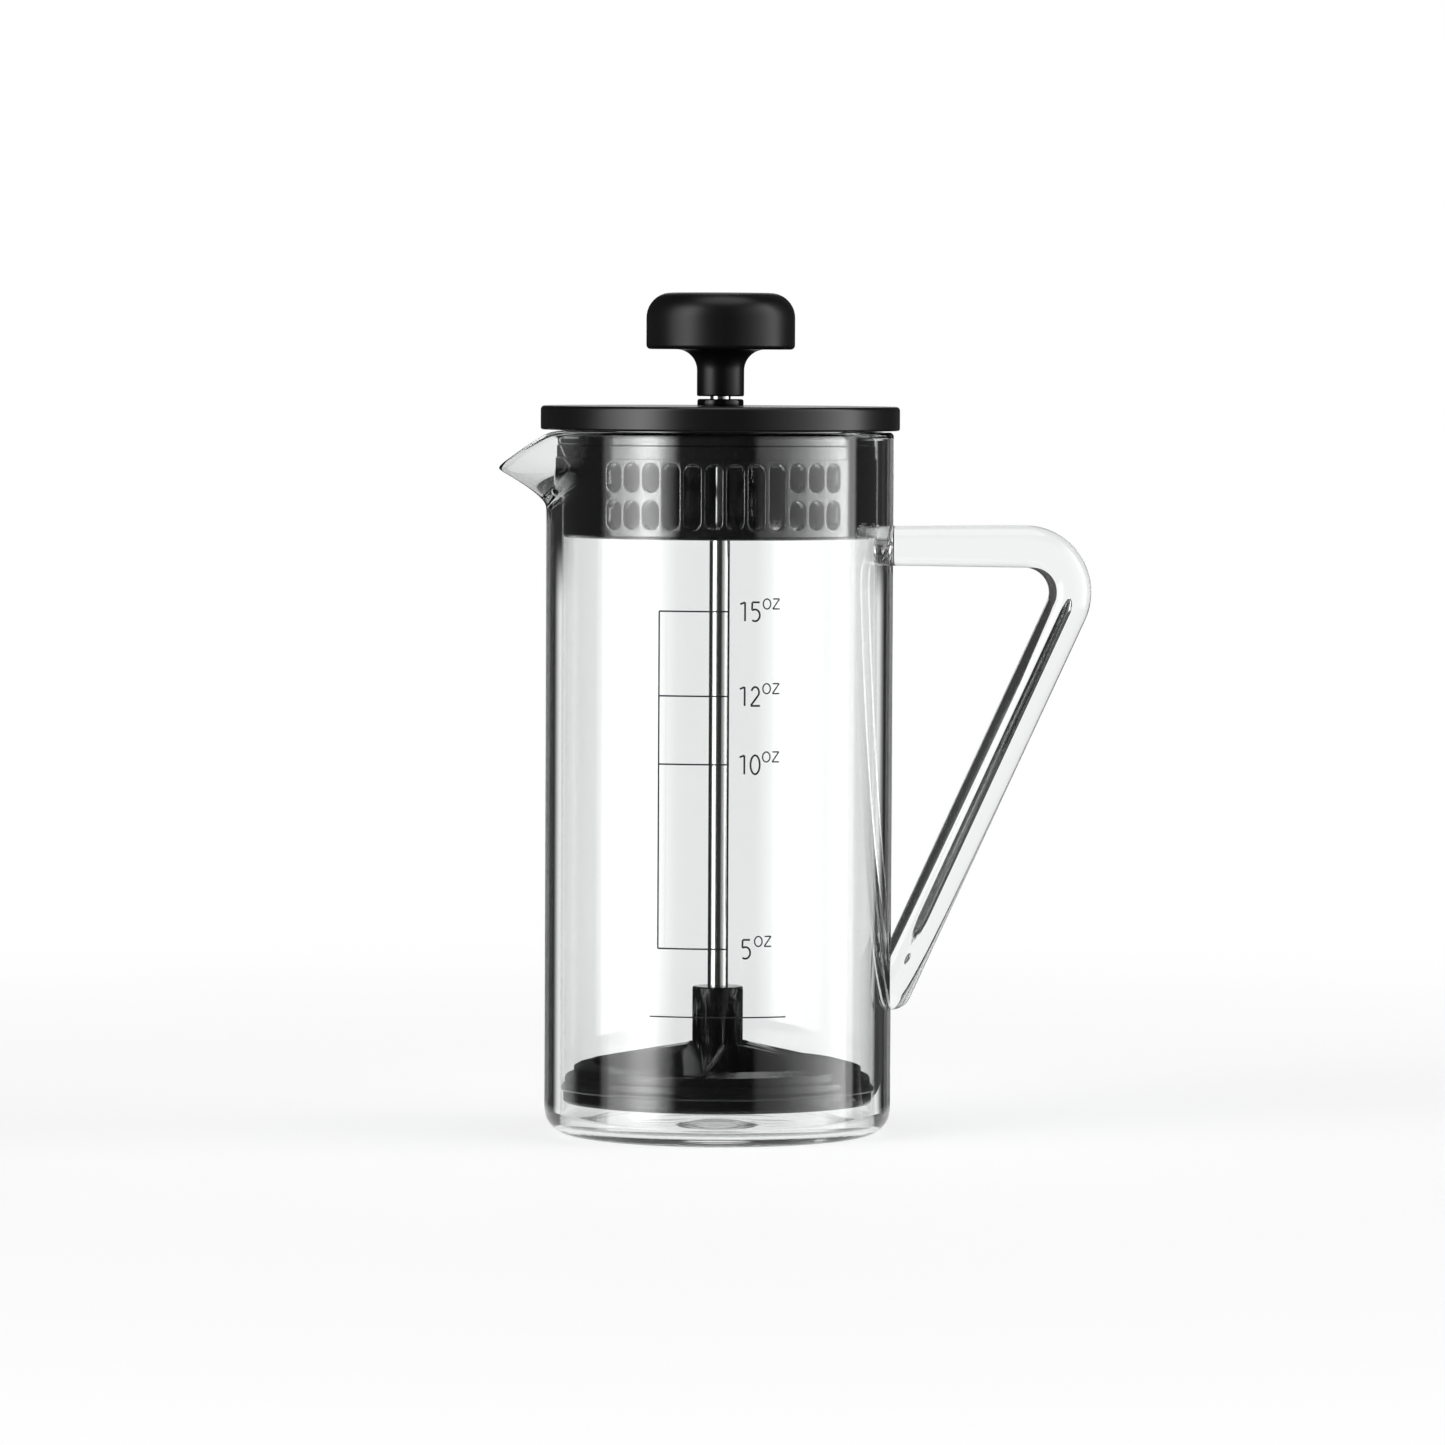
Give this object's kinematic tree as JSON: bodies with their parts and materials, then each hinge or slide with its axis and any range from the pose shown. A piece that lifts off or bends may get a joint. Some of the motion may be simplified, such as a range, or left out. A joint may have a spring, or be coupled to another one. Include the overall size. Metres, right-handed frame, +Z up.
{
  "type": "french press",
  "caption": "Glass french press: spouted beaker with a fused glass rod handle, flat black lid with a slotted pouring strainer, and a filter plunger on a steel rod.",
  "frame": {"origin": "centre of the beaker's flat base, on the axis of the beaker", "axes": "+Z up along the beaker's axis; +X towards the handle, -X towards the spout; -Y is the front, which the strainer's slots face at rest"},
  "size_m": [0.134, 0.0808, 0.1891],
  "materials": {
    "borosilicate_glass": "clear, fire-polished",
    "matte_black_abs": "fine moulded grain",
    "gloss_black_plastic": "polished mould",
    "knob_plastic": "satin",
    "black_nylon": "semi-gloss",
    "black_silicone": "satin",
    "polished_steel": "polished stainless rod",
    "spring_steel": "plain",
    "woven_stainless": "woven wire",
    "insert_brass": "turned"
  },
  "bodies": {
    "beaker": {"glass_beaker": "borosilicate_glass", "glass_handle": "borosilicate_glass"},
    "lid": {"lid_cap": "matte_black_abs"},
    "strainer": {"strainer_skirt": "gloss_black_plastic"},
    "bush": {"rod_bush": "black_nylon", "bush_ring": "spring_steel"},
    "plunger": {"knob": "knob_plastic", "knob_insert": "insert_brass", "plunger_rod": "polished_steel", "piston_frame": "black_nylon", "hub_insert": "insert_brass", "lip_seal": "black_silicone", "filter_mesh": "woven_stainless", "mesh_rim": "spring_steel", "base_grid": "black_nylon", "clamp_nut": "black_nylon"}
  },
  "joints": [
    {"name": "lid_lift", "type": "slide", "parent": "beaker", "child": "lid", "axis": [0, 0, 1], "range_m": [0, 0.165]},
    {"name": "strainer_turn", "type": "hinge", "parent": "lid", "child": "strainer", "pos_m": [0, 0, 0.1452], "axis": [0, 0, 1], "continuous": true},
    {"name": "plunger_spin", "type": "hinge", "parent": "lid", "child": "bush", "pos_m": [0, 0, 0.1645], "axis": [0, 0, 1], "continuous": true},
    {"name": "plunge", "type": "slide", "parent": "bush", "child": "plunger", "axis": [0, 0, 1], "range_m": [0, 0.1205]}
  ]
}
